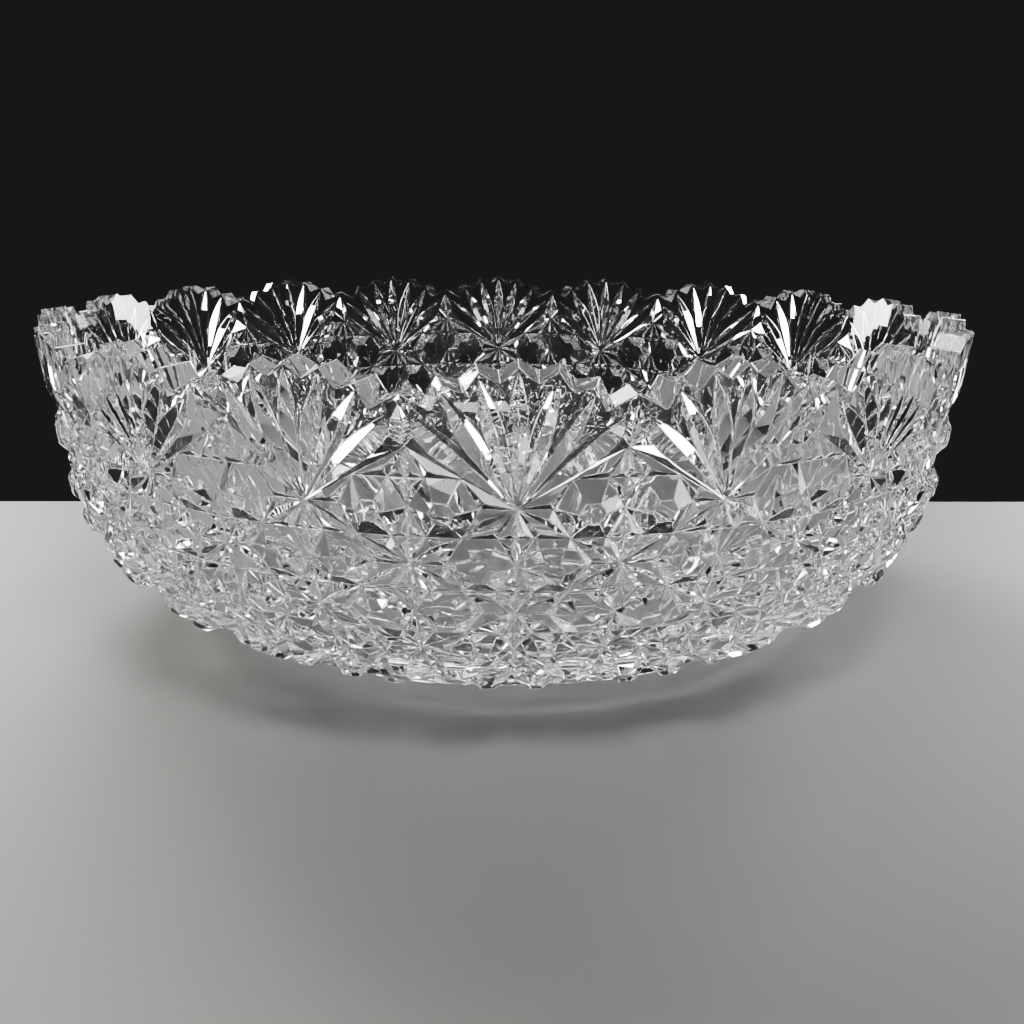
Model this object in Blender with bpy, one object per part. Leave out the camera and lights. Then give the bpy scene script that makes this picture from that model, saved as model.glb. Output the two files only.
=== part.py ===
"""A round pressed-glass bowl: one piece of clear glass with a smooth inside and a moulded outside.

The outside carries a ring of fans under a toothed rim, a lattice of stars and hexagonal buttons on the wall,
and a many-rayed star under the foot. Units are metres, +Z is up, and the bowl stands on z = 0 around the Z axis.

Half of one fan's sector is modelled, from the fan's middle to the line between two fans. It is mirrored
and then spun round the axis. A place on the outside is given by how far round it is, how far down the skin
it is from the rim, and its level: 0 is the skin that the button tops lie in, and less is pressed into the glass.
"""

import math

import bmesh
import bpy
from mathutils import Vector

MM = 0.001

# Overall sizes
RIM_RADIUS = 90.0 * MM  # outer edge of the highest teeth
HEIGHT = 61.5 * MM  # from the table to the top of the highest teeth
FOOT_RADIUS = 49.5 * MM  # outer edge of the face that it rests on

# The side, from the rim down
WALL_FLARE = math.radians(6.0)  # how far the straight part of the wall leans out
WALL_STRAIGHT = 25.0 * MM  # height of the straight part
BELLY_CORNER = 6.1 * MM  # height above the table of the corner that the curve under the wall is drawn towards
FOOT_ROUNDING = 1.0 * MM  # the skin ends this much outside and above the resting face

# The glass
RIM_THICKNESS = 4.5 * MM
WALL_THICKNESS = 6.0 * MM  # at the lower end of the straight part, through a button's top
FLOOR_THICKNESS = 6.5 * MM
FLOOR_RADIUS = 40.0 * MM  # flat part of the inside

# The pattern
FANS = 18
HALF_ROWS = 11  # from the fans' points down to the pattern's lower edge; a row of stars is two of them
PRESS_DEPTH = 2.3 * MM  # from the button tops down to the lines between the facets
FACET_SLOPE = 0.85  # rise over run of the small pyramids' sides
BUTTON_TOP = 0.36  # a button's flat top as a share of its outline
EDGE_WIDTH = 2.4 * MM  # the pattern's lower edge rises to the skin over this width
PLAIN_BAND = 10.0 * MM  # from there down to the foot

# A fan and its teeth
FAN_RADIUS = 20.2 * MM  # from the fan's point to the tops of its teeth
FAN_BREADTH = 1.3169  # half a fan's breadth, were it whole, over half the way between two fans
TOOTH_DEPTH = 2.1 * MM  # from the tops of the teeth to the notches
RIM_RISE = 0.6 * MM  # the teeth rise this much from the outer edge to the inner
RIM_SPREAD = 1.15  # the teeth fan out this much on their way over the rim
NOTCH_RUNOUT = 0.7 * MM  # the notches are this much shallower at the inner edge
BETWEEN_DROP = 3.6 * MM  # the tooth between two fans is this much lower than the highest
GROOVES = 4  # in half a fan, with the one in its middle
GROOVE_MARGIN = 0.9 * MM  # from the tips of the grooves to the tops of the teeth
GROOVE_DEPTH = 1.8 * MM
DEEPEST_REACH = 9.6 * MM  # from the fan's point to the deepest place of a groove
RIDGE_REACH = 10.6 * MM  # from the fan's point to where two grooves part

# The edge of the fan, which falls to the line that runs down to the fan's point
SHOULDER_STEPS = 3
SHOULDER_WIDTH = 1.3 * MM
SHOULDER_FLARE = 1.45 * MM  # it widens by this much where it meets the groove between two fans
SHOULDER_REACH = 0.977  # its length as a share of the line's
SHOULDER_CURVE = 1.3

# The groove between two fans, from the small star up to the rim
BETWEEN_TIP_DROP = 1.4 * MM  # from the tooth between two fans down to the groove's tip
BETWEEN_MIDDLE_DEPTH = 0.75  # its depth half way up, as a share of the depth at the star

# Under the foot
REST_WIDTH = 5.5 * MM  # the flat ring that the bowl rests on
RECESS_DEPTH = 1.5 * MM
RECESS_SLOPE = 0.8 * MM
STAR_MARGIN = 4.0 * MM  # from the recess's edge to the tips of the star
STAR_RIDGE_RADIUS = 27.0 * MM
STAR_DEEPEST_RADIUS = 24.0 * MM
STAR_DEPTH = 1.3 * MM

# Roundness of the smooth surfaces
SIDES_PER_HALF_FAN = 1
INNER_WALL_RINGS = 2
INNER_CURVE_RINGS = 6
LOWER_SKIN_RINGS = 2
CURVE_STEPS = 200
MERGE = 0.002 * MM  # points that meet at a seam become one

# Worked out from the sizes above
HALF_FAN = 180.0 / FANS  # in degrees
UNIT = HALF_FAN / 6  # every crossing of the pattern's lines lies on a sixth of half a fan
SKIN_TOP = HEIGHT - RIM_RISE
WALL_LEAN = math.tan(WALL_FLARE)


class Profile:
    """A straight stretch and then a curve, as (radius, height), measured along its length."""

    def __init__(self, top, bend, corner, end):
        curve = [bend.lerp(corner, t).lerp(corner.lerp(end, t), t) for t in shares(CURVE_STEPS)]
        self.points = [top, *curve]
        self.lengths = [0.0]
        for a, b in zip(self.points, self.points[1:]):
            self.lengths.append(self.lengths[-1] + (b - a).length)

    def at(self, along, level=0.0):
        """The point this far along, moved outwards by level. The end stretches run on past the ends."""
        last = len(self.points) - 2
        i = next((k for k in range(last) if self.lengths[k + 1] > along), last)
        way = (self.points[i + 1] - self.points[i]).normalized()
        outwards = Vector((-way.y, way.x))
        return self.points[i] + way * (along - self.lengths[i]) + outwards * level


def shares(count):
    return [i / count for i in range(count + 1)]


def skin_profile():
    """The outside, from the highest teeth down to the foot."""
    top = Vector((RIM_RADIUS, SKIN_TOP))
    bend = top - Vector((WALL_STRAIGHT * WALL_LEAN, WALL_STRAIGHT))
    depth = SKIN_TOP - BELLY_CORNER
    corner = top - Vector((depth * WALL_LEAN, depth))
    return Profile(top, bend, corner, Vector((FOOT_RADIUS + FOOT_ROUNDING, FOOT_ROUNDING)))


def inner_profile():
    """The inside, from the level of the highest teeth down to the flat floor."""
    top = Vector((RIM_RADIUS - RIM_THICKNESS, SKIN_TOP))
    bend = top - Vector((WALL_STRAIGHT * WALL_LEAN + WALL_THICKNESS - RIM_THICKNESS, WALL_STRAIGHT))
    way = (bend - top) / WALL_STRAIGHT
    corner = bend + way * (bend.y - FLOOR_THICKNESS)
    return Profile(top, bend, corner, Vector((FLOOR_RADIUS, FLOOR_THICKNESS)))


SKIN = skin_profile()
INNER = inner_profile()
DEGREE = math.radians(1.0) * SKIN.at(FAN_RADIUS).x  # width of one degree where the fans' points are
HALF_WIDTH = HALF_FAN * DEGREE  # width of half a fan's sector there
FAN_STRETCH = FAN_BREADTH * HALF_WIDTH / FAN_RADIUS  # 1 is a round fan, and less a narrow one
HALF_ROW = (SKIN.lengths[-1] - PLAIN_BAND - EDGE_WIDTH - FAN_RADIUS) / HALF_ROWS
STAR_UP = 2 * HALF_ROW  # from the fans' points up to the small stars between the fans
SHOULDER_ANGLE = math.atan2(HALF_WIDTH, STAR_UP)
GROOVE_SPREAD = SHOULDER_ANGLE / GROOVES  # the grooves share the fan evenly
GROOVE_LENGTH = FAN_RADIUS - GROOVE_MARGIN
BETWEEN_TOOTH = FAN_RADIUS - BETWEEN_DROP
BETWEEN_TIP = BETWEEN_TOOTH - BETWEEN_TIP_DROP


def in_space(degrees, spot):
    """A point of a profile, turned from the front, which is at -Y, towards +X."""
    angle = math.radians(degrees)
    return Vector((spot.x * math.sin(angle), -spot.x * math.cos(angle), spot.y))


def on_skin(degrees, along, level):
    return in_space(degrees, SKIN.at(along, level))


def add_face(bowl, *corners):
    bowl.faces.new([bowl.verts.new(corner) for corner in corners])


def join_rows(bowl, upper, lower):
    """Triangles between two rows of (degrees, point) that start and end at the same degrees."""
    i = j = 0
    while i + j < len(upper) + len(lower) - 2:
        upper_next = upper[i + 1][0] if i + 1 < len(upper) else math.inf
        lower_next = lower[j + 1][0] if j + 1 < len(lower) else math.inf
        if upper_next < lower_next:
            add_face(bowl, upper[i][1], lower[j][1], upper[i + 1][1])
            i += 1
        else:
            add_face(bowl, upper[i][1], lower[j][1], lower[j + 1][1])
            j += 1


def node(unit, row):
    """A crossing of the pattern's lines, at full depth. Row 0 holds the fans' points, and rows run down."""
    return on_skin(unit * UNIT, FAN_RADIUS + row * HALF_ROW, -PRESS_DEPTH)


def unrolled(unit, row):
    """The same crossing on the unrolled skin."""
    along = FAN_RADIUS + row * HALF_ROW
    return Vector((math.radians(unit * UNIT) * SKIN.at(along).x, along))


def rolled(spot, level):
    return on_skin(math.degrees(spot.x / SKIN.at(spot.y).x), spot.y, level)


def pyramid(bowl, *corners):
    """A three-sided pyramid over crossings, with the same slope on each side."""
    a, b, c = (unrolled(*corner) for corner in corners)
    sides = ((b - c).length, (c - a).length, (a - b).length)
    round_it = sum(sides)
    area = abs((b - a).cross(c - a)) / 2
    centre = (a * sides[0] + b * sides[1] + c * sides[2]) / round_it
    top = rolled(centre, FACET_SLOPE * 2 * area / round_it - PRESS_DEPTH)
    base = [node(*corner) for corner in corners]
    for i in range(3):
        add_face(bowl, base[i - 1], base[i], top)


def button(bowl, unit, row):
    """A hexagonal button with a flat top, between the crossings at unit and unit + 4."""
    corners = [(unit + x, row + y) for x, y in ((0, 0), (1, 1), (3, 1), (4, 0), (3, -1), (1, -1))]
    centre = unrolled(unit + 2, row)
    base = [node(*corner) for corner in corners]
    top = [rolled(centre.lerp(unrolled(*corner), BUTTON_TOP), 0.0) for corner in corners]
    for i in range(6):
        add_face(bowl, base[i - 1], base[i], top[i], top[i - 1])
    add_face(bowl, *top)


def star_rays(bowl, big, small, row, step):
    """The pyramids beside a row of stars, on its upper side (step -1) or its lower side (step 1)."""
    way = 1 if big > small else -1
    line = row + step
    pyramid(bowl, (big, row), (big, line), (big - way, line))
    pyramid(bowl, (small, row), (small + 2 * way, row), (small + 3 * way, line))
    pyramid(bowl, (small, row), (small + 3 * way, line), (small + way, line))
    pyramid(bowl, (small, row), (small + way, line), (small, line))


def lattice(bowl):
    """The pattern of stars and buttons. The big stars of the first row stand between the fans."""
    for row in range(0, HALF_ROWS, 2):
        big, small = (6, 0) if row % 4 == 0 else (0, 6)
        button(bowl, min(big, 2), row)
        star_rays(bowl, big, small, row, 1)
        if row > 0:
            star_rays(bowl, big, small, row, -1)
    pyramid(bowl, (6, 0), (6, -1), (5, -1))
    pyramid(bowl, (0, 0), (2, 0), (3, -1))
    pyramid(bowl, (6, -2), (3, -1), (5, -1))
    pyramid(bowl, (6, -2), (5, -1), (6, -1))


def on_fan(across, up, level=0.0):
    """A place beside the fan's middle line and above the fan's point."""
    return on_skin(across / DEGREE, FAN_RADIUS - up, level)


def along_ray(ray, reach, level=0.0):
    """A place on the fan: ray 0 is its middle line, and ray 1 the next groove."""
    angle = ray * GROOVE_SPREAD
    return on_fan(FAN_STRETCH * reach * math.sin(angle), reach * math.cos(angle), level)


def shoulder():
    """The crest between the outermost groove and the line from the fan's point to the small star."""
    crest = []
    for share in shares(SHOULDER_STEPS):
        along = SHOULDER_REACH * math.hypot(HALF_WIDTH, STAR_UP) * share
        away = SHOULDER_WIDTH * share**0.8 + SHOULDER_FLARE * share**7
        across = along * math.sin(SHOULDER_ANGLE) - away * math.cos(SHOULDER_ANGLE)
        up = along * math.cos(SHOULDER_ANGLE) + away * math.sin(SHOULDER_ANGLE)
        crest.append(on_fan(across, up, -PRESS_DEPTH * (1 - share) ** SHOULDER_CURVE))
    return crest


def rim_line():
    """(across, up, is it a notch) from the fan's middle tooth to the tooth beside the fan."""
    line = []
    for k in range(GROOVES - 1):
        across = GROOVE_LENGTH * math.sin(k * GROOVE_SPREAD)
        line.append((FAN_STRETCH * across, math.sqrt(FAN_RADIUS**2 - across**2), False))
        angle = (k + 0.5) * GROOVE_SPREAD
        notch_radius = FAN_RADIUS - TOOTH_DEPTH
        line.append((FAN_STRETCH * notch_radius * math.sin(angle), notch_radius * math.cos(angle), True))
    line.append((HALF_WIDTH, BETWEEN_TOOTH, False))
    return line


def fan(bowl):
    """The grooves of half a fan, the lands between their tips and the rim, and the fan's edge."""
    point = node(0, 0)
    rim = [on_fan(across, up) for across, up, _ in rim_line()]
    tips = [along_ray(k, GROOVE_LENGTH) for k in range(GROOVES)]
    deepest = [along_ray(k, DEEPEST_REACH, -GROOVE_DEPTH) for k in range(GROOVES)]
    ridges = [along_ray(k + 0.5, RIDGE_REACH) for k in range(GROOVES - 1)]
    for k in range(GROOVES - 1):
        add_face(bowl, point, ridges[k], deepest[k])
        add_face(bowl, ridges[k], tips[k], deepest[k])
        add_face(bowl, point, deepest[k + 1], ridges[k])
        add_face(bowl, ridges[k], deepest[k + 1], tips[k + 1])
        tooth, notch, next_tooth = rim[2 * k : 2 * k + 3]
        add_face(bowl, ridges[k], notch, tips[k])
        add_face(bowl, tips[k], notch, tooth)
        add_face(bowl, ridges[k], tips[k + 1], notch)
        add_face(bowl, tips[k + 1], next_tooth, notch)
    fan_edge(bowl, deepest[-1], tips[-1], rim[-1])


def fan_edge(bowl, deepest, tip, tooth):
    """The outer side of the last groove, the slope below it, and half the groove between two fans."""
    crest = shoulder()
    corner = crest[-1]
    star = node(6, -2)
    side = node(3, -1)
    middle_up = (STAR_UP + BETWEEN_TIP) / 2
    middle = on_fan(HALF_WIDTH, middle_up, -PRESS_DEPTH * BETWEEN_MIDDLE_DEPTH)
    top = on_fan(HALF_WIDTH, BETWEEN_TIP)
    for i in range(SHOULDER_STEPS):
        add_face(bowl, crest[i], deepest, crest[i + 1])
    for i in range(SHOULDER_STEPS - 1):
        add_face(bowl, crest[i], side, crest[i + 1])
    add_face(bowl, crest[-2], side, star)
    add_face(bowl, crest[-2], star, corner)
    add_face(bowl, corner, deepest, tip)
    add_face(bowl, corner, star, middle)
    add_face(bowl, corner, middle, top)
    add_face(bowl, corner, top, tip)
    add_face(bowl, tip, top, tooth)


def rim_top(bowl):
    """The flat tops of the teeth, from the outer edge over to the inside. It returns the inner edge."""
    inner_edge = []
    outer_edge = []
    for across, up, notch in rim_line():
        degrees = across / DEGREE
        outer = SKIN.at(FAN_RADIUS - up)
        outer_edge.append(in_space(degrees, outer))
        if across < HALF_WIDTH:
            degrees = min(degrees * RIM_SPREAD, (HALF_FAN + degrees) / 2)
        height = outer.y + RIM_RISE + (NOTCH_RUNOUT if notch else 0.0)
        down = (SKIN_TOP - height) / (INNER.points[0].y - INNER.points[1].y)
        radius = INNER.points[0].x + (INNER.points[1].x - INNER.points[0].x) * down
        inner_edge.append((degrees, in_space(degrees, Vector((radius, height)))))
    for k in range(len(outer_edge) - 1):
        add_face(bowl, outer_edge[k], outer_edge[k + 1], inner_edge[k + 1][1], inner_edge[k][1])
    return inner_edge


def smooth_row(spot):
    return [(HALF_FAN * share, in_space(HALF_FAN * share, spot)) for share in shares(SIDES_PER_HALF_FAN)]


def inside(bowl, inner_edge):
    """The smooth inside, from the rim's inner edge down to the middle of the floor."""
    lowest_notch = min(point.z for _, point in inner_edge)
    start = SKIN_TOP - lowest_notch + TOOTH_DEPTH
    bend = INNER.lengths[1]
    alongs = [start + (bend - start) * share for share in shares(INNER_WALL_RINGS)]
    alongs += [bend + (INNER.lengths[-1] - bend) * share for share in shares(INNER_CURVE_RINGS)[1:]]
    row = inner_edge
    for along in alongs:
        lower = smooth_row(INNER.at(along))
        join_rows(bowl, row, lower)
        row = lower
    middle = Vector((0.0, 0.0, FLOOR_THICKNESS))
    for a, b in zip(row, row[1:]):
        add_face(bowl, a[1], b[1], middle)


def lower_skin(bowl):
    """The plain band from the pattern's lower edge to the foot. It returns the foot's outer edge."""
    units = (0, 1, 3, 5, 6)
    start = FAN_RADIUS + HALF_ROWS * HALF_ROW
    band = start + EDGE_WIDTH
    row = [(unit * UNIT, node(unit, HALF_ROWS)) for unit in units]
    lower = [(unit * UNIT, on_skin(unit * UNIT, band, 0.0)) for unit in units]
    join_rows(bowl, row, lower)
    for share in shares(LOWER_SKIN_RINGS)[1:]:
        row = lower
        lower = smooth_row(SKIN.at(band + (SKIN.lengths[-1] - band) * share))
        join_rows(bowl, row, lower)
    return lower


def underside(bowl, foot_edge):
    """The ring that the bowl rests on, and the shallow recess inside it with its pressed star."""
    recess = FOOT_RADIUS - REST_WIDTH
    row = foot_edge
    for radius, height in ((FOOT_RADIUS, 0.0), (recess, 0.0), (recess - RECESS_SLOPE, RECESS_DEPTH)):
        lower = smooth_row(Vector((radius, height)))
        join_rows(bowl, row, lower)
        row = lower
    tip = in_space(0.0, Vector((recess - STAR_MARGIN, RECESS_DEPTH)))
    ridge = in_space(HALF_FAN, Vector((STAR_RIDGE_RADIUS, RECESS_DEPTH)))
    deepest = in_space(0.0, Vector((STAR_DEEPEST_RADIUS, RECESS_DEPTH + STAR_DEPTH)))
    middle = Vector((0.0, 0.0, RECESS_DEPTH + STAR_DEPTH))
    join_rows(bowl, row, [(0.0, tip), (HALF_FAN, ridge)])
    add_face(bowl, tip, deepest, ridge)
    add_face(bowl, deepest, middle, ridge)


def repeat_round(bowl):
    """Mirrors the half sector, spins it into the whole bowl and closes the seams."""
    copied = bmesh.ops.duplicate(bowl, geom=bowl.faces[:])
    mirrored = [item for item in copied["geom"] if isinstance(item, bmesh.types.BMVert)]
    bmesh.ops.scale(bowl, vec=(-1.0, 1.0, 1.0), verts=mirrored)
    bmesh.ops.spin(
        bowl,
        geom=bowl.faces[:],
        axis=(0.0, 0.0, 1.0),
        angle=math.tau * (FANS - 1) / FANS,
        steps=FANS - 1,
        use_duplicate=True,
    )
    bmesh.ops.remove_doubles(bowl, verts=bowl.verts[:], dist=MERGE)
    bmesh.ops.recalc_face_normals(bowl, faces=bowl.faces[:])


def clear_glass():
    """Colourless soda-lime glass with a fire-polished surface."""
    material = bpy.data.materials.new("clear_pressed_glass")
    material.use_nodes = True
    shader = material.node_tree.nodes["Principled BSDF"]
    shader.inputs["Base Color"].default_value = (0.93, 0.94, 0.94, 1.0)
    shader.inputs["Roughness"].default_value = 0.03
    shader.inputs["Metallic"].default_value = 0.0
    shader.inputs["IOR"].default_value = 1.52
    shader.inputs["Transmission Weight"].default_value = 1.0
    return material


def make_bowl():
    bowl = bmesh.new()
    lattice(bowl)
    fan(bowl)
    inside(bowl, rim_top(bowl))
    underside(bowl, lower_skin(bowl))
    repeat_round(bowl)
    mesh = bpy.data.meshes.new("bowl")
    bowl.to_mesh(mesh)
    bowl.free()
    mesh.materials.append(clear_glass())
    mesh.shade_flat()
    return bpy.data.objects.new("bowl", mesh)


def clear_scene():
    for obj in list(bpy.data.objects):
        bpy.data.objects.remove(obj)


clear_scene()
bpy.context.scene.collection.objects.link(make_bowl())
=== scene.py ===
"""A round pressed-glass bowl on a pale table: one piece of clear glass with softened, fire-polished edges.

Half of one fan's sector is made in mesh code, from the fan's middle to the line between two fans. Geometry
Nodes mirror it and repeat it round the axis. Then every sharp line is softened by a narrow chamfer, as the flame
that polishes pressed glass does. A place on the outside is given by how far round it is, how far down the skin
it is from the rim, and its level: 0 is the skin that the button tops lie in, and less is pressed in.
"""

import math

import bmesh
import bpy
from mathutils import Matrix, Vector


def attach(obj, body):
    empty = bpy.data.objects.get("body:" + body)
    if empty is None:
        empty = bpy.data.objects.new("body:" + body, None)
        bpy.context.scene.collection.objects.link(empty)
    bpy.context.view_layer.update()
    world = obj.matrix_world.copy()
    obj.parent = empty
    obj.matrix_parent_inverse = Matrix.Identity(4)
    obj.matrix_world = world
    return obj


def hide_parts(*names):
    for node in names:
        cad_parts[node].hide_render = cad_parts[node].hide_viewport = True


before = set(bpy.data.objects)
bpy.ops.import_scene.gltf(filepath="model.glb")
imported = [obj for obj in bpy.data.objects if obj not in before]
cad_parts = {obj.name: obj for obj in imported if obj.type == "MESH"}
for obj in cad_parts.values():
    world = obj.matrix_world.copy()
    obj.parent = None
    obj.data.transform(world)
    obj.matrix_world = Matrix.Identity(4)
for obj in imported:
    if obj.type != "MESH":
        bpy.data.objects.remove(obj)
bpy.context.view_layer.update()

MM = 0.001

# Overall sizes, as in the solid model
RIM_RADIUS = 90.0 * MM
HEIGHT = 61.5 * MM
FOOT_RADIUS = 49.5 * MM

# The side, from the rim down
WALL_FLARE = math.radians(6.0)
WALL_STRAIGHT = 25.0 * MM
BELLY_CORNER = 6.1 * MM
FOOT_ROUNDING = 1.0 * MM

# The glass
RIM_THICKNESS = 4.5 * MM
WALL_THICKNESS = 6.0 * MM
FLOOR_THICKNESS = 6.5 * MM
FLOOR_RADIUS = 40.0 * MM

# The pattern of stars and buttons
FANS = 18
HALF_ROWS = 11
PRESS_DEPTH = 2.3 * MM
FACET_SLOPE = 0.85
BUTTON_TOP = 0.36
EDGE_WIDTH = 2.4 * MM
PLAIN_BAND = 10.0 * MM

# A fan and its teeth
FAN_RADIUS = 20.2 * MM
TOOTH_DEPTH = 2.1 * MM
RIM_RISE = 0.6 * MM
RIM_SPREAD = 1.15  # the teeth fan out this much on their way over the rim
NOTCH_RUNOUT = 0.7 * MM  # the notches are this much shallower at the inner edge
BETWEEN_DROP = 3.6 * MM
GROOVES = 4  # in half a fan, with the one in its middle
GROOVE_MARGIN = 0.9 * MM
GROOVE_START = 2.5 * MM  # the grooves start this far from the fan's point
GROOVE_HALF_WIDTH = 1.40 * MM  # where a groove is widest
GROOVE_SLOPE = 1.25  # rise over run of a groove's sides
GROOVE_STEPS = 14
POINT_SLOPE_REACH = 12.0 * MM  # the fan's face dips towards its point from here
POINT_SLOPE_CURVE = 1.5

# The edge of the fan, which falls to the line that runs down to the fan's point
SHOULDER_STEPS = 12
SHOULDER_TURN = 9  # after this many steps the edge's slope runs to the small star
SHOULDER_WIDTH = 1.3 * MM
SHOULDER_FLARE = 1.45 * MM  # it widens by this much where it meets the groove between two fans
SHOULDER_REACH = 17.25 * MM
SHOULDER_CURVE = 1.3
SHOULDER_WIDTH_CURVE = 0.8  # under 1, most of its width comes near the fan's point
SHOULDER_FLARE_CURVE = 7  # the flare comes at the very end

# The groove between two fans
BETWEEN_TIP_DROP = 1.4 * MM
BETWEEN_BULGE = 0.25 * MM

# Under the foot
REST_WIDTH = 5.5 * MM
RECESS_DEPTH = 1.5 * MM
RECESS_SLOPE = 0.8 * MM
STAR_MARGIN = 4.0 * MM
STAR_RIDGE_RADIUS = 27.0 * MM
STAR_DEEPEST_RADIUS = 24.0 * MM
STAR_DEPTH = 1.3 * MM
FOOT_EDGE_OUT = 0.3 * FOOT_ROUNDING  # the foot's outer edge turns under from here
FOOT_EDGE_IN = 0.4 * FOOT_ROUNDING
RECESS_EDGE_OUT = 0.3 * MM  # the same for the inner edge of the face that it rests on
RECESS_EDGE_IN = 0.5 * MM

# Roundness of the smooth surfaces
SIDES_PER_HALF_FAN = 10
INNER_WALL_RINGS = 10
INNER_CURVE_RINGS = 24
FLOOR_RINGS = 4
LOWER_SKIN_RINGS = 6
CURVE_STEPS = 200
SEAM = 0.002 * MM  # points that meet at a seam become one

# Fire polish
POLISH_WIDTH = 0.17 * MM  # width of the rounding on each side of a sharp line
POLISH_SHARE = 0.28  # at most this share of a small facet
POLISH_ANGLE = math.radians(7.0)  # flatter lines than this stay as they are
POLISH_DROP = 0.6  # a corner moves this share of the way to the middle of its rounding
POLISH_LEAST_TURN = 0.25  # keeps the corner of a needle-sharp facet from running far inwards

# Worked out from the sizes above
HALF_FAN = 180.0 / FANS  # in degrees
UNIT = HALF_FAN / 6
SKIN_TOP = HEIGHT - RIM_RISE
WALL_LEAN = math.tan(WALL_FLARE)


class Profile:
    """A straight stretch and then a curve, as (radius, height), measured along its length."""

    def __init__(self, top, bend, corner, end):
        curve = [bend.lerp(corner, t).lerp(corner.lerp(end, t), t) for t in shares(CURVE_STEPS)]
        self.points = [top, *curve]
        self.lengths = [0.0]
        for a, b in zip(self.points, self.points[1:]):
            self.lengths.append(self.lengths[-1] + (b - a).length)

    def at(self, along, level=0.0):
        """The point this far along, moved outwards by level. The end stretches run on past the ends."""
        last = len(self.points) - 2
        i = next((k for k in range(last) if self.lengths[k + 1] > along), last)
        way = (self.points[i + 1] - self.points[i]).normalized()
        outwards = Vector((-way.y, way.x))
        return self.points[i] + way * (along - self.lengths[i]) + outwards * level


def shares(count):
    return [i / count for i in range(count + 1)]


def skin_profile():
    top = Vector((RIM_RADIUS, SKIN_TOP))
    bend = top - Vector((WALL_STRAIGHT * WALL_LEAN, WALL_STRAIGHT))
    depth = SKIN_TOP - BELLY_CORNER
    corner = top - Vector((depth * WALL_LEAN, depth))
    return Profile(top, bend, corner, Vector((FOOT_RADIUS + FOOT_ROUNDING, FOOT_ROUNDING)))


def inner_profile():
    top = Vector((RIM_RADIUS - RIM_THICKNESS, SKIN_TOP))
    bend = top - Vector((WALL_STRAIGHT * WALL_LEAN + WALL_THICKNESS - RIM_THICKNESS, WALL_STRAIGHT))
    way = (bend - top) / WALL_STRAIGHT
    corner = bend + way * (bend.y - FLOOR_THICKNESS)
    return Profile(top, bend, corner, Vector((FLOOR_RADIUS, FLOOR_THICKNESS)))


SKIN = skin_profile()
INNER = inner_profile()
DEGREE = math.radians(1.0) * SKIN.at(FAN_RADIUS).x  # width of one degree where the fans' points are
HALF_WIDTH = HALF_FAN * DEGREE
HALF_ROW = (SKIN.lengths[-1] - PLAIN_BAND - EDGE_WIDTH - FAN_RADIUS) / HALF_ROWS
STAR_UP = 2 * HALF_ROW  # from the fans' points up to the small stars between the fans
SHOULDER_ANGLE = math.atan2(HALF_WIDTH, STAR_UP)
GROOVE_SPREAD = SHOULDER_ANGLE / GROOVES
GROOVE_LENGTH = FAN_RADIUS - GROOVE_MARGIN
BETWEEN_TOOTH = FAN_RADIUS - BETWEEN_DROP
BETWEEN_TIP = BETWEEN_TOOTH - BETWEEN_TIP_DROP


def in_space(degrees, spot):
    """A point of a profile, turned from the front, which is at -Y, towards +X."""
    angle = math.radians(degrees)
    return Vector((spot.x * math.sin(angle), -spot.x * math.cos(angle), spot.y))


def on_skin(degrees, along, level):
    return in_space(degrees, SKIN.at(along, level))


def add_face(bowl, *corners, smooth=False):
    face = bowl.faces.new([bowl.verts.new(corner) for corner in corners])
    face.smooth = smooth


def add_strip(bowl, one_side, other_side, smooth=False):
    """Faces between two lines of points with the same count."""
    for (a, b), (c, d) in zip(zip(one_side, one_side[1:]), zip(other_side, other_side[1:])):
        corners = [a, b]
        corners += [corner for corner in (d, c) if min((corner - a).length, (corner - b).length) > SEAM]
        if len(corners) > 2 and (a - b).length > SEAM:
            add_face(bowl, *corners, smooth=smooth)


def join_rows(bowl, upper, lower, smooth=True):
    """Triangles between two rows of (degrees, point) that start and end at the same degrees."""
    i = j = 0
    while i + j < len(upper) + len(lower) - 2:
        upper_next = upper[i + 1][0] if i + 1 < len(upper) else math.inf
        lower_next = lower[j + 1][0] if j + 1 < len(lower) else math.inf
        if upper_next < lower_next:
            add_face(bowl, upper[i][1], lower[j][1], upper[i + 1][1], smooth=smooth)
            i += 1
        else:
            add_face(bowl, upper[i][1], lower[j][1], lower[j + 1][1], smooth=smooth)
            j += 1


def node(unit, row):
    """A crossing of the pattern's lines, at full depth. Row 0 holds the fans' points, and rows run down."""
    return on_skin(unit * UNIT, FAN_RADIUS + row * HALF_ROW, -PRESS_DEPTH)


def unrolled(unit, row):
    along = FAN_RADIUS + row * HALF_ROW
    return Vector((math.radians(unit * UNIT) * SKIN.at(along).x, along))


def rolled(spot, level):
    return on_skin(math.degrees(spot.x / SKIN.at(spot.y).x), spot.y, level)


def pyramid(bowl, *corners):
    """A three-sided pyramid over crossings, with the same slope on each side."""
    a, b, c = (unrolled(*corner) for corner in corners)
    sides = ((b - c).length, (c - a).length, (a - b).length)
    round_it = sum(sides)
    area = abs((b - a).cross(c - a)) / 2
    centre = (a * sides[0] + b * sides[1] + c * sides[2]) / round_it
    top = rolled(centre, FACET_SLOPE * 2 * area / round_it - PRESS_DEPTH)
    base = [node(*corner) for corner in corners]
    for i in range(3):
        add_face(bowl, base[i - 1], base[i], top)


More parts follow.
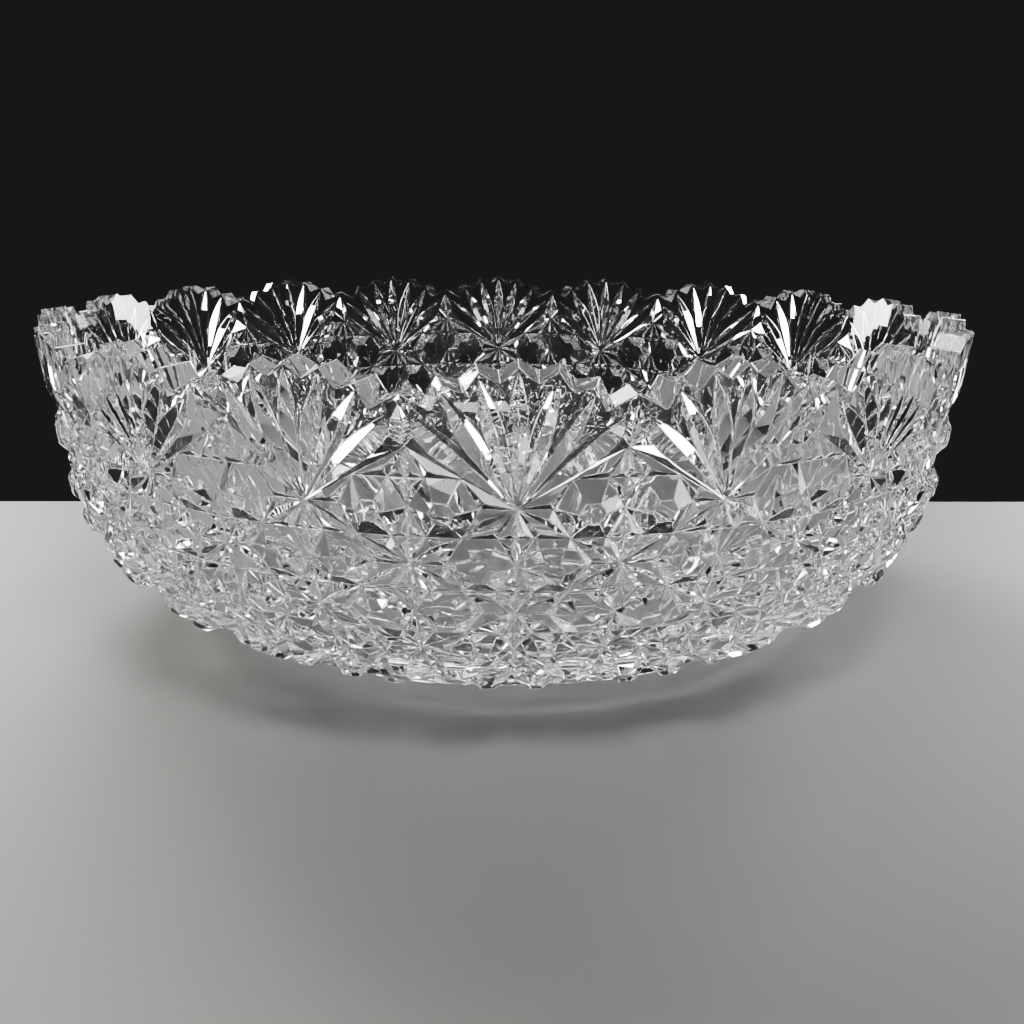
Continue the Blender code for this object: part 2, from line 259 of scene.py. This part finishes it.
def button(bowl, unit, row):
    """A hexagonal button with a flat top, between the crossings at unit and unit + 4."""
    corners = [(unit + x, row + y) for x, y in ((0, 0), (1, 1), (3, 1), (4, 0), (3, -1), (1, -1))]
    centre = unrolled(unit + 2, row)
    base = [node(*corner) for corner in corners]
    top = [rolled(centre.lerp(unrolled(*corner), BUTTON_TOP), 0.0) for corner in corners]
    for i in range(6):
        add_face(bowl, base[i - 1], base[i], top[i], top[i - 1])
    add_face(bowl, *top)


def star_rays(bowl, big, small, row, step):
    """The pyramids beside a row of stars, on its upper side (step -1) or its lower side (step 1)."""
    way = 1 if big > small else -1
    line = row + step
    pyramid(bowl, (big, row), (big, line), (big - way, line))
    pyramid(bowl, (small, row), (small + 2 * way, row), (small + 3 * way, line))
    pyramid(bowl, (small, row), (small + 3 * way, line), (small + way, line))
    pyramid(bowl, (small, row), (small + way, line), (small, line))


def lattice(bowl):
    """The pattern of stars and buttons. The big stars of the first row stand between the fans."""
    for row in range(0, HALF_ROWS, 2):
        big, small = (6, 0) if row % 4 == 0 else (0, 6)
        button(bowl, min(big, 2), row)
        star_rays(bowl, big, small, row, 1)
        if row > 0:
            star_rays(bowl, big, small, row, -1)
    pyramid(bowl, (6, 0), (6, -1), (5, -1))
    pyramid(bowl, (0, 0), (2, 0), (3, -1))
    pyramid(bowl, (6, -2), (3, -1), (5, -1))
    pyramid(bowl, (6, -2), (5, -1), (6, -1))


def on_fan(across, up, level=0.0):
    """A place beside the fan's middle line and above the fan's point."""
    return on_skin(across / DEGREE, FAN_RADIUS - up, level)


def face_level(reach):
    """The fan's face lies in the skin, and dips to full depth at the fan's point."""
    left = max(0.0, 1 - reach / POINT_SLOPE_REACH)
    return -PRESS_DEPTH * left**POINT_SLOPE_CURVE


def groove_width(reach):
    """Half the width of a groove, which is pointed at both ends as a wheel would cut it."""
    middle = (GROOVE_START + GROOVE_LENGTH) / 2
    share = (reach - middle) / (GROOVE_LENGTH - middle)
    return GROOVE_HALF_WIDTH * max(0.0, 1 - share**2)


def beside_ray(ray, reach, aside, level):
    """A place beside a groove's middle line: ray 0 is the fan's middle, and ray 1 the next groove."""
    angle = ray * GROOVE_SPREAD
    across = reach * math.sin(angle) + aside * math.cos(angle)
    up = reach * math.cos(angle) - aside * math.sin(angle)
    return on_fan(across, up, level)


def groove_reaches():
    return [GROOVE_LENGTH * share for share in shares(GROOVE_STEPS)]


def groove_bottom(ray):
    line = []
    for reach in groove_reaches():
        depth = GROOVE_SLOPE * groove_width(reach)
        line.append(beside_ray(ray, reach, 0.0, face_level(reach) - depth))
    return line


def groove_side(ray, way):
    """Where a groove's side ends: in the fan's face, or where it meets the next groove's side."""
    line = []
    for reach in groove_reaches():
        wide = groove_width(reach)
        aside = min(wide, reach * math.tan(GROOVE_SPREAD / 2))
        level = face_level(reach) - GROOVE_SLOPE * (wide - aside)
        line.append(beside_ray(ray, reach, way * aside, level))
    return line


def shoulder():
    """The crest between the outermost groove and the line from the fan's point to the small star."""
    crest = []
    for share in shares(SHOULDER_STEPS):
        along = SHOULDER_REACH * share
        away = SHOULDER_WIDTH * share**SHOULDER_WIDTH_CURVE + SHOULDER_FLARE * share**SHOULDER_FLARE_CURVE
        across = along * math.sin(SHOULDER_ANGLE) - away * math.cos(SHOULDER_ANGLE)
        up = along * math.cos(SHOULDER_ANGLE) + away * math.sin(SHOULDER_ANGLE)
        crest.append((across, up, -PRESS_DEPTH * (1 - share) ** SHOULDER_CURVE))
    return crest


def between_sides(corner, steps):
    """The bottom and the side of half the groove between two fans, from the small star up to its tip."""
    bottom = []
    side = []
    for share in shares(steps):
        up = STAR_UP + (BETWEEN_TIP - STAR_UP) * share
        bottom.append(on_fan(HALF_WIDTH, up, -PRESS_DEPTH * (1 - share**2)))
        bulge = BETWEEN_BULGE * 4 * share * (1 - share)
        across = corner[0] + (HALF_WIDTH - corner[0]) * share - bulge
        side.append(on_fan(across, corner[1] + (BETWEEN_TIP - corner[1]) * share, 0.0))
    return bottom, side


def rim_line():
    """(across, up, is it a notch) from the fan's middle tooth to the tooth beside the fan."""
    line = []
    for k in range(GROOVES - 1):
        across = GROOVE_LENGTH * math.sin(k * GROOVE_SPREAD)
        line.append((across, math.sqrt(FAN_RADIUS**2 - across**2), False))
        angle = (k + 0.5) * GROOVE_SPREAD
        notch_radius = FAN_RADIUS - TOOTH_DEPTH
        line.append((notch_radius * math.sin(angle), notch_radius * math.cos(angle), True))
    line.append((HALF_WIDTH, BETWEEN_TOOTH, False))
    return line


def fan(bowl):
    """The grooves of half a fan, the face between them and the rim, and half the groove beside the fan."""
    rim = [on_fan(across, up) for across, up, _ in rim_line()]
    bottoms = [groove_bottom(k) for k in range(GROOVES)]
    right_sides = [groove_side(k, 1) for k in range(GROOVES - 1)]
    left_sides = [groove_side(k, -1) for k in range(1, GROOVES)]
    for k in range(GROOVES - 1):
        add_strip(bowl, bottoms[k], right_sides[k])
        add_strip(bowl, left_sides[k], bottoms[k + 1])
        add_strip(bowl, right_sides[k], left_sides[k])
        tooth, notch, next_tooth = rim[2 * k : 2 * k + 3]
        tip = bottoms[k][-1]
        next_tip = bottoms[k + 1][-1]
        add_face(bowl, tip, notch, tooth)
        add_face(bowl, tip, next_tip, notch)
        if k < GROOVES - 2:
            add_face(bowl, next_tip, next_tooth, notch)
    shoulder_and_between(bowl, bottoms[-1], rim[-2], rim[-1])


def shoulder_and_between(bowl, last_groove, notch, tooth):
    """The outer side of the last groove, the fan's edge below it and the groove between two fans."""
    crest = shoulder()
    corner = crest[-1]
    crest_line = [on_fan(*spot) for spot in crest]
    star = node(6, -2)
    side = node(3, -1)
    turn = SHOULDER_TURN
    for i in range(turn):
        add_face(bowl, crest_line[i], side, crest_line[i + 1])
    add_face(bowl, side, star, crest_line[turn])
    for i in range(turn, SHOULDER_STEPS):
        add_face(bowl, crest_line[i], star, crest_line[i + 1])
    tip = last_groove[-1]
    steps = GROOVE_STEPS - SHOULDER_STEPS
    last_angle = (GROOVES - 1) * GROOVE_SPREAD
    tip_spot = Vector((GROOVE_LENGTH * math.sin(last_angle), GROOVE_LENGTH * math.cos(last_angle)))
    outer = list(crest_line)
    for i in range(1, steps):
        spot = Vector(corner[:2]).lerp(tip_spot, i / steps)
        outer.append(on_fan(spot.x + BETWEEN_BULGE, spot.y, 0.0))
    outer.append(tip)
    add_strip(bowl, last_groove, outer)
    bottom, between = between_sides(corner, 2 * steps + 2)
    add_strip(bowl, between, bottom)
    # The face between the last groove and the groove between the fans, up to the rim
    for i in range(SHOULDER_STEPS, GROOVE_STEPS):
        j = i - SHOULDER_STEPS
        add_face(bowl, outer[i], between[j + 1], outer[i + 1])
        if j:
            add_face(bowl, outer[i], between[j], between[j + 1])
    for j in range(steps, len(between) - 1):
        add_face(bowl, tip, between[j], between[j + 1])
    add_face(bowl, tip, between[-1], tooth)
    add_face(bowl, tip, tooth, notch)


def rim_top(bowl):
    """The tops of the teeth, from the outer edge over to the inside. It returns the inner edge."""
    inner_edge = []
    outer_edge = []
    for across, up, notch in rim_line():
        outer = SKIN.at(FAN_RADIUS - up)
        outer_edge.append(in_space(across / DEGREE, outer))
        degrees = across / DEGREE
        if across < HALF_WIDTH:
            degrees = min(degrees * RIM_SPREAD, (HALF_FAN + degrees) / 2)
        height = outer.y + RIM_RISE + (NOTCH_RUNOUT if notch else 0.0)
        down = (SKIN_TOP - height) / (INNER.points[0].y - INNER.points[1].y)
        radius = INNER.points[0].x + (INNER.points[1].x - INNER.points[0].x) * down
        inner_edge.append((degrees, in_space(degrees, Vector((radius, height)))))
    for k in range(len(outer_edge) - 1):
        add_face(bowl, outer_edge[k], outer_edge[k + 1], inner_edge[k + 1][1], inner_edge[k][1])
    return inner_edge


def smooth_row(spot):
    return [(HALF_FAN * share, in_space(HALF_FAN * share, spot)) for share in shares(SIDES_PER_HALF_FAN)]


def inside(bowl, inner_edge):
    """The smooth inside, from the rim's inner edge down to the middle of the floor."""
    lowest_notch = min(point.z for _, point in inner_edge)
    start = SKIN_TOP - lowest_notch + TOOTH_DEPTH
    bend = INNER.lengths[1]
    alongs = [start + (bend - start) * share for share in shares(INNER_WALL_RINGS)]
    alongs += [bend + (INNER.lengths[-1] - bend) * share for share in shares(INNER_CURVE_RINGS)[1:]]
    spots = [INNER.at(along) for along in alongs]
    spots += [Vector((FLOOR_RADIUS * (1 - i / FLOOR_RINGS), FLOOR_THICKNESS)) for i in range(1, FLOOR_RINGS)]
    row = inner_edge
    for spot in spots:
        lower = smooth_row(spot)
        join_rows(bowl, row, lower)
        row = lower
    middle = Vector((0.0, 0.0, FLOOR_THICKNESS))
    for a, b in zip(row, row[1:]):
        add_face(bowl, a[1], b[1], middle, smooth=True)


def lower_skin(bowl):
    """The plain band from the pattern's lower edge to the foot. It returns the foot's outer edge."""
    units = (0, 1, 3, 5, 6)
    start = FAN_RADIUS + HALF_ROWS * HALF_ROW
    band = start + EDGE_WIDTH
    row = [(unit * UNIT, node(unit, HALF_ROWS)) for unit in units]
    lower = [(unit * UNIT, on_skin(unit * UNIT, band, 0.0)) for unit in units]
    join_rows(bowl, row, lower, smooth=False)
    for share in shares(LOWER_SKIN_RINGS)[1:]:
        row = lower
        lower = smooth_row(SKIN.at(band + (SKIN.lengths[-1] - band) * share))
        join_rows(bowl, row, lower)
    return lower


def underside(bowl, foot_edge):
    """The ring that the bowl rests on, and the shallow recess inside it with its pressed star."""
    recess = FOOT_RADIUS - REST_WIDTH
    row = foot_edge
    rings = (
        (FOOT_RADIUS + FOOT_EDGE_OUT, FOOT_EDGE_OUT),
        (FOOT_RADIUS - FOOT_EDGE_IN, 0.0),
        (recess + RECESS_EDGE_OUT, 0.0),
        (recess - RECESS_SLOPE / 2, RECESS_DEPTH / 2),
        (recess - RECESS_SLOPE - RECESS_EDGE_IN, RECESS_DEPTH),
    )
    for radius, height in rings:
        lower = smooth_row(Vector((radius, height)))
        join_rows(bowl, row, lower)
        row = lower
    tip = in_space(0.0, Vector((recess - STAR_MARGIN, RECESS_DEPTH)))
    ridge = in_space(HALF_FAN, Vector((STAR_RIDGE_RADIUS, RECESS_DEPTH)))
    deepest = in_space(0.0, Vector((STAR_DEEPEST_RADIUS, RECESS_DEPTH + STAR_DEPTH)))
    middle = Vector((0.0, 0.0, RECESS_DEPTH + STAR_DEPTH))
    join_rows(bowl, row, [(0.0, tip), (HALF_FAN, ridge)], smooth=False)
    add_face(bowl, tip, deepest, ridge)
    add_face(bowl, deepest, middle, ridge)


def half_sector():
    """Half of one fan's sector, as a mesh."""
    bowl = bmesh.new()
    lattice(bowl)
    fan(bowl)
    inside(bowl, rim_top(bowl))
    underside(bowl, lower_skin(bowl))
    mesh = bpy.data.meshes.new("bowl")
    bowl.to_mesh(mesh)
    bowl.free()
    return mesh


def add_node(tree, kind, settings=None, **inputs):
    """Adds a node. An input is a value or the socket that feeds it, and its name may end in _ and a number."""
    made = tree.nodes.new(kind)
    for name, value in (settings or {}).items():
        setattr(made, name, value)
    for name, value in inputs.items():
        words = name.split("_")
        if words[-1].isdigit():
            socket = made.inputs[int(words[-1])]
        else:
            socket = made.inputs[" ".join(words)]
        if isinstance(value, bpy.types.NodeSocket):
            tree.links.new(value, socket)
        else:
            socket.default_value = value
    return made


def repeat_tree():
    """Mirrors half a sector, repeats it round the axis, closes the seams and gives it its glass."""
    tree = bpy.data.node_groups.new("repeat_round_axis", "GeometryNodeTree")
    face = tree.interface
    face.new_socket("Half sector", in_out="INPUT", socket_type="NodeSocketGeometry")
    face.new_socket("Fans", in_out="INPUT", socket_type="NodeSocketInt")
    face.new_socket("Seam", in_out="INPUT", socket_type="NodeSocketFloat")
    face.new_socket("Glass", in_out="INPUT", socket_type="NodeSocketMaterial")
    face.new_socket("Bowl", in_out="OUTPUT", socket_type="NodeSocketGeometry")
    given = add_node(tree, "NodeGroupInput").outputs
    mirrored = add_node(tree, "GeometryNodeTransform", Geometry=given["Half sector"], Scale=(-1.0, 1.0, 1.0))
    turned = add_node(tree, "GeometryNodeFlipFaces", Mesh=mirrored.outputs[0])
    sector = add_node(tree, "GeometryNodeJoinGeometry", Geometry=turned.outputs[0])
    tree.links.new(given["Half sector"], sector.inputs[0])
    points = add_node(tree, "GeometryNodePoints", Count=given["Fans"])
    step = add_node(tree, "ShaderNodeMath", {"operation": "DIVIDE"}, input_0=math.tau, input_1=given["Fans"])
    index = add_node(tree, "GeometryNodeInputIndex")
    angle = add_node(
        tree, "ShaderNodeMath", {"operation": "MULTIPLY"}, input_0=index.outputs[0], input_1=step.outputs[0]
    )
    turn = add_node(tree, "ShaderNodeCombineXYZ", Z=angle.outputs[0])
    sectors = add_node(
        tree,
        "GeometryNodeInstanceOnPoints",
        Points=points.outputs[0],
        Instance=sector.outputs[0],
        Rotation=turn.outputs[0],
    )
    real = add_node(tree, "GeometryNodeRealizeInstances", Geometry=sectors.outputs[0])
    closed = add_node(tree, "GeometryNodeMergeByDistance", Geometry=real.outputs[0], Distance=given["Seam"])
    glassy = add_node(tree, "GeometryNodeSetMaterial", Geometry=closed.outputs[0], Material=given["Glass"])
    add_node(tree, "NodeGroupOutput", Bowl=glassy.outputs[0])
    return tree


def repeated(mesh, glass):
    """The whole bowl with sharp edges, as a plain mesh."""
    maker = bpy.data.objects.new("half_sector", mesh)
    bpy.context.scene.collection.objects.link(maker)
    modifier = maker.modifiers.new("repeat", "NODES")
    tree = repeat_tree()
    modifier.node_group = tree
    sizes = {"Fans": FANS, "Seam": SEAM, "Glass": glass}
    for item in tree.interface.items_tree:
        if item.name in sizes:
            modifier[item.identifier] = sizes[item.name]
    graph = bpy.context.evaluated_depsgraph_get()
    whole = bpy.data.meshes.new_from_object(maker.evaluated_get(graph))
    bpy.data.objects.remove(maker)
    return whole


def is_sharp(edge):
    """A line that the flame softens: at least one facet beside it is flat, and it isn't almost flat itself."""
    one, other = edge.link_faces
    return not (one.smooth and other.smooth) and edge.calc_face_angle(0.0) > POLISH_ANGLE


def wedges_at(vertex, sharp):
    """The corners of the faces round a vertex, in groups that no sharp line parts."""
    loops = list(vertex.link_loops)
    group = {loop: i for i, loop in enumerate(loops)}
    leaving = {loop.edge: loop for loop in loops}
    for loop in loops:
        arriving = loop.link_loop_prev.edge
        other = leaving[arriving]
        if arriving not in sharp and group[other] != group[loop]:
            old, new = group[other], group[loop]
            for item in loops:
                if group[item] == old:
                    group[item] = new
    return group


def facet_size(face):
    return 2 * face.calc_area() / face.calc_perimeter()


def softened_corner(vertex, loops, sharp):
    """Where this group of corners goes once the sharp lines beside it are rounded, and its normal."""
    normal = Vector()
    inwards = []
    room = POLISH_WIDTH
    for loop in loops:
        face = loop.face
        normal += face.normal * loop.calc_angle()
        if face.smooth:
            room = 0.0
        for edge, way in ((loop.edge, 1), (loop.link_loop_prev.edge, -1)):
            if edge in sharp:
                along = (edge.other_vert(vertex).co - vertex.co).normalized()
                inwards.append(face.normal.cross(along) * way)
                room = min(room, POLISH_SHARE * edge.calc_length(), POLISH_SHARE * 2 * facet_size(face))
    normal.normalize()
    if len(inwards) != 2 or room == 0.0:
        return vertex.co.copy(), normal
    one, other = inwards
    shift = (one + other) / max(POLISH_LEAST_TURN, 1 + one.dot(other))
    return vertex.co + shift * room, normal


class Softened:
    """The bowl's points, normals and faces once its sharp lines are rounded."""

    def __init__(self):
        self.points = []
        self.normals = []
        self.faces = []

    def add_point(self, point, normal):
        self.points.append(point)
        self.normals.append(normal)
        return len(self.points) - 1

    def add_face(self, corners):
        kept = [c for i, c in enumerate(corners) if c != corners[i - 1]]
        if len(set(kept)) > 2:
            self.faces.append(kept)


def fire_polished(whole):
    """Rounds every sharp line: each facet draws back a little, and a narrow face fills the gap."""
    bowl = bmesh.new()
    bowl.from_mesh(whole)
    bmesh.ops.recalc_face_normals(bowl, faces=bowl.faces[:])
    sharp_lines = [edge for edge in bowl.edges if is_sharp(edge)]
    sharp = set(sharp_lines)
    made = Softened()
    corner_of = {}
    for vertex in bowl.verts:
        groups = wedges_at(vertex, sharp)
        index = {}
        for group in dict.fromkeys(groups.values()):
            loops = [loop for loop in groups if groups[loop] == group]
            index[group] = made.add_point(*softened_corner(vertex, loops, sharp))
        for loop, group in groups.items():
            corner_of[loop] = index[group]
        if len(index) > 2:
            close_corner(made, vertex, groups, index, sharp)
    for face in bowl.faces:
        made.add_face([corner_of[loop] for loop in face.loops])
    for edge in sharp_lines:
        one, other = edge.link_loops
        one_end = corner_of[one.link_loop_next]
        other_end = corner_of[other.link_loop_next]
        made.add_face([one_end, corner_of[one], other_end, corner_of[other]])
    bowl.free()
    return made


def close_corner(made, vertex, groups, index, sharp):
    """Fills the gap at a corner where three or more sharp lines meet."""
    leaving = {loop.edge: loop for loop in groups}
    follows = {}
    for loop in groups:
        arriving = loop.link_loop_prev.edge
        if arriving in sharp:
            follows[index[groups[loop]]] = index[groups[leaving[arriving]]]
    ring = [next(iter(follows))]
    while follows[ring[-1]] != ring[0] and len(ring) <= len(follows):
        ring.append(follows[ring[-1]])
    middle = sum((made.points[i] for i in ring), Vector()) / len(ring)
    normal = sum((made.normals[i] for i in ring), Vector()).normalized()
    top = made.add_point(vertex.co.lerp(middle, POLISH_DROP), normal)
    for i, corner in enumerate(ring):
        made.add_face([top, ring[i - 1], corner])


def to_linear(colour):
    """An sRGB colour such as "C8C7C3" as linear red, green, blue and alpha."""
    values = [int(colour[i : i + 2], 16) / 255 for i in (0, 2, 4)]
    return [v / 12.92 if v <= 0.04045 else ((v + 0.055) / 1.055) ** 2.4 for v in values] + [1.0]


def new_material(name):
    material = bpy.data.materials.new(name)
    material.use_nodes = True
    tree = material.node_tree
    return material, tree, tree.nodes["Principled BSDF"]


# The ripples that pressing leaves in a facet
RIPPLE_SIZE = 2.2 * MM
RIPPLE_HEIGHT = 0.03 * MM
RIPPLE_STRENGTH = 0.2
GLASS_IOR = 1.52


def pressed_soda_lime_glass():
    """Soda-lime glass, pressed in an iron mould and fire polished: clear and bright, with faint ripples."""
    material, tree, shader = new_material("pressed_soda_lime_glass")
    shader.inputs["Base Color"].default_value = to_linear("FBFCFC")
    shader.inputs["Roughness"].default_value = 0.0
    shader.inputs["IOR"].default_value = GLASS_IOR
    shader.inputs["Transmission Weight"].default_value = 1.0
    place = add_node(tree, "ShaderNodeTexCoord")
    ripple = add_node(
        tree,
        "ShaderNodeTexNoise",
        Vector=place.outputs["Object"],
        Scale=1 / RIPPLE_SIZE,
        Detail=2.0,
        Roughness=0.5,
        Distortion=0.4,
    )
    bump = add_node(
        tree, "ShaderNodeBump", Strength=RIPPLE_STRENGTH, Distance=RIPPLE_HEIGHT, Height=ripple.outputs[0]
    )
    tree.links.new(bump.outputs[0], shader.inputs["Normal"])
    return material


def make_bowl():
    glass = pressed_soda_lime_glass()
    whole = repeated(half_sector(), glass)
    made = fire_polished(whole)
    mesh = bpy.data.meshes.new("bowl_glass")
    mesh.from_pydata(made.points, [], made.faces)
    mesh.materials.append(glass)
    mesh.update()
    mesh.shade_smooth()
    mesh.normals_split_custom_set_from_vertices(made.normals)
    bowl = bpy.data.objects.new("bowl_glass", mesh)
    bpy.context.scene.collection.objects.link(bowl)
    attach(bowl, "root")
    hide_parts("bowl")


# The stage
TABLE_BACK = 68.0 * MM  # the table ends just behind the bowl
TABLE_FRONT = -900.0 * MM
TABLE_HALF_WIDTH = 900.0 * MM
TABLE_THICKNESS = 30.0 * MM
TABLE_GAP = 0.05 * MM  # the air that stays under the foot, so that light leaves the glass there


def pale_table_paint():
    """Matt pale paint, which sends soft light up into the glass."""
    material, _, shader = new_material("pale_table_paint")
    shader.inputs["Base Color"].default_value = to_linear("B9B8B5")
    shader.inputs["Roughness"].default_value = 0.6
    return material


def make_table():
    table = bmesh.new()
    bmesh.ops.create_cube(table, size=1.0)
    size = Vector((2 * TABLE_HALF_WIDTH, TABLE_BACK - TABLE_FRONT, TABLE_THICKNESS))
    middle = Vector((0.0, (TABLE_BACK + TABLE_FRONT) / 2, -TABLE_THICKNESS / 2 - TABLE_GAP))
    bmesh.ops.scale(table, vec=size, verts=table.verts[:])
    bmesh.ops.translate(table, vec=middle, verts=table.verts[:])
    mesh = bpy.data.meshes.new("table")
    table.to_mesh(mesh)
    table.free()
    mesh.materials.append(pale_table_paint())
    floor = bpy.data.objects.new("table", mesh)
    bpy.context.scene.collection.objects.link(floor)


# The lights
LIGHTS_AIM = Vector((0.0, 0.0, 0.03))


def soft_box(name, place, wide, high, watts, colour):
    """A rectangular soft light, aimed at the bowl."""
    light = bpy.data.lights.new(name, "AREA")
    light.shape = "RECTANGLE"
    light.size = wide
    light.size_y = high
    light.energy = watts
    light.color = to_linear(colour)[:3]
    lamp = bpy.data.objects.new(name, light)
    lamp.location = place
    lamp.rotation_euler = (LIGHTS_AIM - Vector(place)).to_track_quat("-Z", "Y").to_euler()
    bpy.context.scene.collection.objects.link(lamp)


def make_lights():
    """Three windows beyond the bowl, which light its facets from behind, and a soft light above the front."""
    soft_box("window_behind", place=(-0.35, 0.75, 0.75), wide=0.6, high=0.4, watts=7.5, colour="FBFDFF")
    soft_box("window_left", place=(-0.75, 0.90, 0.25), wide=0.35, high=0.3, watts=9.0, colour="FFFCF6")
    soft_box("window_right", place=(0.75, 0.90, 0.22), wide=0.35, high=0.3, watts=7.0, colour="FFFFFF")
    soft_box("overhead", place=(0.1, -0.45, 0.95), wide=0.3, high=0.2, watts=2.8, colour="FFFFFF")


# The room, which is a plain glow that changes from the front to the wall behind
ROOM_GLOW = 0.05
WALL_GLOW = 0.022
ROOM_ENDS = -0.5  # these two say how far towards the back
WALL_STARTS = 0.35


def make_room():
    """A dark wall behind the bowl and a grey room in front of it."""
    world = bpy.data.worlds.new("room")
    world.use_nodes = True
    tree = world.node_tree
    background = tree.nodes["Background"]
    background.inputs["Color"].default_value = to_linear("F4F6FA")
    place = add_node(tree, "ShaderNodeTexCoord")
    parts = add_node(tree, "ShaderNodeSeparateXYZ", Vector=place.outputs["Generated"])
    ramp = add_node(
        tree,
        "ShaderNodeMapRange",
        {"interpolation_type": "SMOOTHSTEP"},
        Value=parts.outputs["Y"],
        input_1=ROOM_ENDS,
        input_2=WALL_STARTS,
        input_3=ROOM_GLOW,
        input_4=WALL_GLOW,
    )
    tree.links.new(ramp.outputs[0], background.inputs["Strength"])
    bpy.context.scene.world = world


# The camera, level with the rim's side and tipped down onto it
CAMERA_DISTANCE = 225.7 * MM  # from the middle of the rim
CAMERA_ELEVATION = math.radians(4.82)
CAMERA_PITCH = math.radians(15.92)
CAMERA_YAW = math.radians(-0.46)
CAMERA_ROLL = math.radians(-0.47)
BOWL_TURN = math.radians(1.19)  # the bowl's front fan is turned this much from the camera's line
CAMERA_LENS = 37.69  # in millimetres, for a picture 36 mm wide
PICTURE_WIDTH = 36.0


def make_camera():
    camera = bpy.data.cameras.new("camera")
    camera.lens = CAMERA_LENS
    camera.sensor_width = PICTURE_WIDTH
    camera.clip_start = 0.01
    camera.clip_end = 20.0
    right = Vector((math.cos(CAMERA_YAW), math.sin(CAMERA_YAW), 0.0))
    level = Vector((-math.sin(CAMERA_YAW), math.cos(CAMERA_YAW), 0.0))
    ahead = level * math.cos(CAMERA_PITCH) - Vector((0.0, 0.0, math.sin(CAMERA_PITCH)))
    above = level * math.sin(CAMERA_PITCH) + Vector((0.0, 0.0, math.cos(CAMERA_PITCH)))
    rolled_right = right * math.cos(CAMERA_ROLL) - above * math.sin(CAMERA_ROLL)
    rolled_above = right * math.sin(CAMERA_ROLL) + above * math.cos(CAMERA_ROLL)
    place = Vector((0.0, -math.cos(CAMERA_ELEVATION), math.sin(CAMERA_ELEVATION))) * CAMERA_DISTANCE
    place.z += HEIGHT
    axes = Matrix((rolled_right, rolled_above, -ahead)).transposed().to_4x4()
    shot = bpy.data.objects.new("camera", camera)
    shot.matrix_world = Matrix.Rotation(-BOWL_TURN, 4, "Z") @ Matrix.Translation(place) @ axes
    bpy.context.scene.collection.objects.link(shot)
    bpy.context.scene.camera = shot


GLASS_BOUNCES = 32
GLOSSY_BOUNCES = 16
BRIGHTEST_INDIRECT = 12.0


def let_light_through():
    """Light crosses many glass surfaces before it leaves the bowl."""
    cycles = bpy.context.scene.cycles
    cycles.max_bounces = GLASS_BOUNCES
    cycles.transmission_bounces = GLASS_BOUNCES
    cycles.glossy_bounces = GLOSSY_BOUNCES
    cycles.sample_clamp_indirect = BRIGHTEST_INDIRECT


def raise_contrast():
    """Cut glass reads by its black and white facets, so the picture gets a little more contrast."""
    bpy.context.scene.view_settings.look = "AgX - Medium High Contrast"


make_bowl()
make_table()
make_room()
make_lights()
make_camera()
let_light_through()
raise_contrast()
